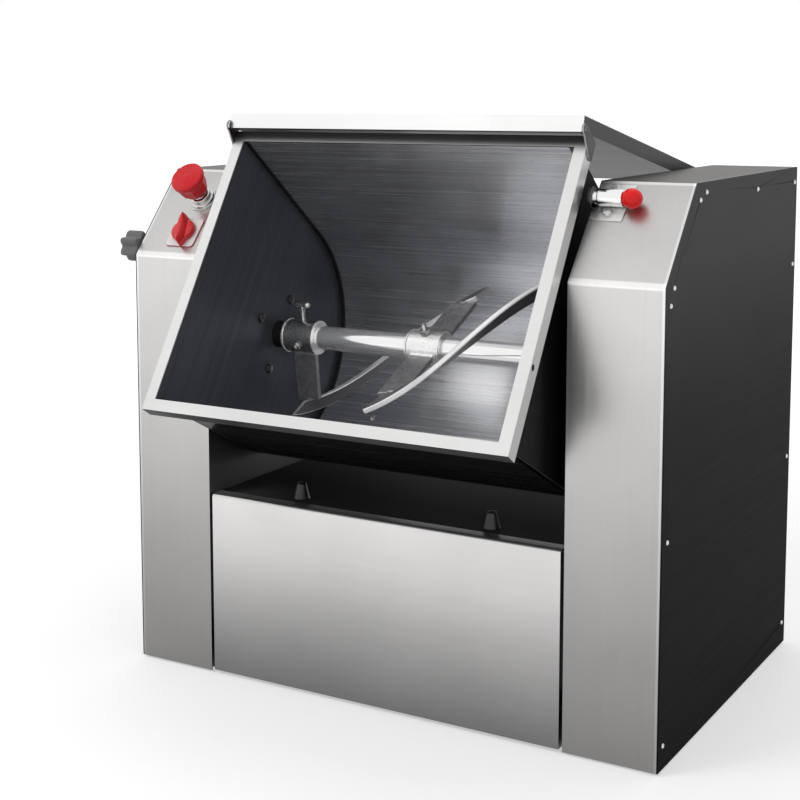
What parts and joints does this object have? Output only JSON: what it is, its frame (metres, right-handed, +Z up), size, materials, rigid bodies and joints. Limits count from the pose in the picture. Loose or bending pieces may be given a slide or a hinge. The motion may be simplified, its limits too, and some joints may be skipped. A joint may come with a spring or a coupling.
{
  "type": "flour mixer",
  "caption": "Free-standing flour and dough mixer: a tilting tub with a ribbon agitator between two sheet-metal columns, with a fold-back lid, stop button, selector and lock pin.",
  "frame": {"origin": "on the floor, under the middle of the body", "axes": "+Z up, +X right along the tub's tilting axis, +Y from front to back"},
  "size_m": [0.6671, 0.5781, 0.6432],
  "materials": {
    "brushed_stainless": "fine brushed",
    "side_panel_steel": "dark brushed",
    "rim_stainless": "satin",
    "tub_stainless": "brushed along the tub",
    "polished_steel": "polished",
    "arm_steel": "satin",
    "zinc_fasteners": "bright zinc",
    "frame_steel": "satin paint",
    "machined_steel": "turned",
    "cast_iron": "as cast",
    "motor_paint": "gloss paint",
    "black_rubber": "matte",
    "black_plastic": "matte",
    "grey_plastic": "matte",
    "red_plastic": "satin gloss",
    "pale_plastic": "satin with a dark red edge"
  },
  "bodies": {
    "base": {"left_column_cover": "brushed_stainless", "right_column_cover": "brushed_stainless", "front_panel": "brushed_stainless", "rear_covers": "brushed_stainless", "rear_panel": "brushed_stainless", "left_side_panel": "side_panel_steel", "right_side_panel": "side_panel_steel", "shelf_plate": "tub_stainless", "estop_collar": "polished_steel", "pin_bracket": "arm_steel", "side_panel_screws": "zinc_fasteners", "bearing_bolts": "zinc_fasteners", "pin_bracket_bolts": "zinc_fasteners", "base_cross_rails": "frame_steel", "base_side_rails": "frame_steel", "motor_rails": "frame_steel", "inner_plates": "frame_steel", "trunnion_bearings": "machined_steel", "jackshaft_housing": "cast_iron", "motor_body": "motor_paint", "motor_terminal_box": "motor_paint", "shelf_bumpers": "black_rubber", "drive_belt": "black_rubber", "estop_contact_block": "black_plastic", "selector_body": "black_plastic", "cable_gland": "black_plastic", "contactor_box": "grey_plastic", "selector_plate": "pale_plastic"},
    "tub": {"tub_wall": "tub_stainless", "tub_left_end": "tub_stainless", "tub_right_end": "tub_stainless", "tub_rim_frame": "rim_stainless", "wall_plug": "zinc_fasteners", "hinge_ears": "rim_stainless", "hinge_pins": "arm_steel", "trunnions": "machined_steel", "trunnion_collars": "machined_steel", "trunnion_bolts": "zinc_fasteners", "shaft_seals": "black_rubber", "shaft_bearings": "machined_steel"},
    "lid": {"lid": "rim_stainless"},
    "agitator": {"agitator_shaft": "polished_steel", "left_hub_arm": "arm_steel", "middle_hub_arms": "arm_steel", "right_hub_arm": "arm_steel", "left_ribbon": "polished_steel", "right_ribbon": "polished_steel", "hub_bolts": "zinc_fasteners", "driven_gear": "cast_iron"},
    "jackshaft_group": {"jackshaft": "polished_steel", "pinion": "machined_steel", "large_pulley": "cast_iron"},
    "motor_rotor": {"motor_shaft": "polished_steel", "motor_pulley": "cast_iron"},
    "estop_plunger": {"estop_stem": "polished_steel"},
    "estop_head": {"estop_cap": "red_plastic"},
    "selector": {"selector_knob": "red_plastic"},
    "lock": {"lock_pin": "polished_steel", "ball_knob": "red_plastic"},
    "star_knob": {"side_knob": "grey_plastic"}
  },
  "joints": [
    {"name": "tub_tilt", "type": "hinge", "parent": "base", "child": "tub", "pos_m": [0, -0.097, 0.381], "axis": [1, 0, 0], "range_deg": [-61.5, 32.5]},
    {"name": "lid_hinge", "type": "hinge", "parent": "tub", "child": "lid", "pos_m": [0, -0.17241, 0.62963], "axis": [1, 0, 0], "range_deg": [0, 249]},
    {"name": "agitator_spin", "type": "hinge", "parent": "base", "child": "agitator", "pos_m": [0, -0.097, 0.381], "axis": [1, 0, 0], "continuous": true},
    {"name": "jackshaft_spin", "type": "hinge", "parent": "base", "child": "jackshaft_group", "pos_m": [0.27, -0.03336, 0.30516], "axis": [1, 0, 0], "continuous": true},
    {"name": "motor_spin", "type": "hinge", "parent": "base", "child": "motor_rotor", "pos_m": [0.25, 0.02, 0.1], "axis": [1, 0, 0], "continuous": true},
    {"name": "estop_press", "type": "slide", "parent": "base", "child": "estop_plunger", "axis": [0, -0.7531, 0.6579], "range_m": [-0.005, 0]},
    {"name": "estop_twist", "type": "hinge", "parent": "estop_plunger", "child": "estop_head", "pos_m": [-0.26, -0.16471, 0.543], "axis": [0, -0.7531, 0.6579], "range_deg": [0, 45]},
    {"name": "selector_turn", "type": "hinge", "parent": "base", "child": "selector", "pos_m": [-0.264, -0.19629, 0.50685], "axis": [0, -0.7531, 0.6579], "range_deg": [-45, 45]},
    {"name": "lock_pin_slide", "type": "slide", "parent": "base", "child": "lock", "axis": [1, 0, 0], "range_m": [-0.005, 0.006]},
    {"name": "side_knob_turn", "type": "hinge", "parent": "base", "child": "star_knob", "pos_m": [-0.33, -0.2, 0.489], "axis": [1, 0, 0], "continuous": true}
  ],
  "couplings": [
    {"joint": "jackshaft_spin", "follows": "agitator_spin", "ratio": -4.5},
    {"joint": "motor_spin", "follows": "agitator_spin", "ratio": -13.5}
  ]
}
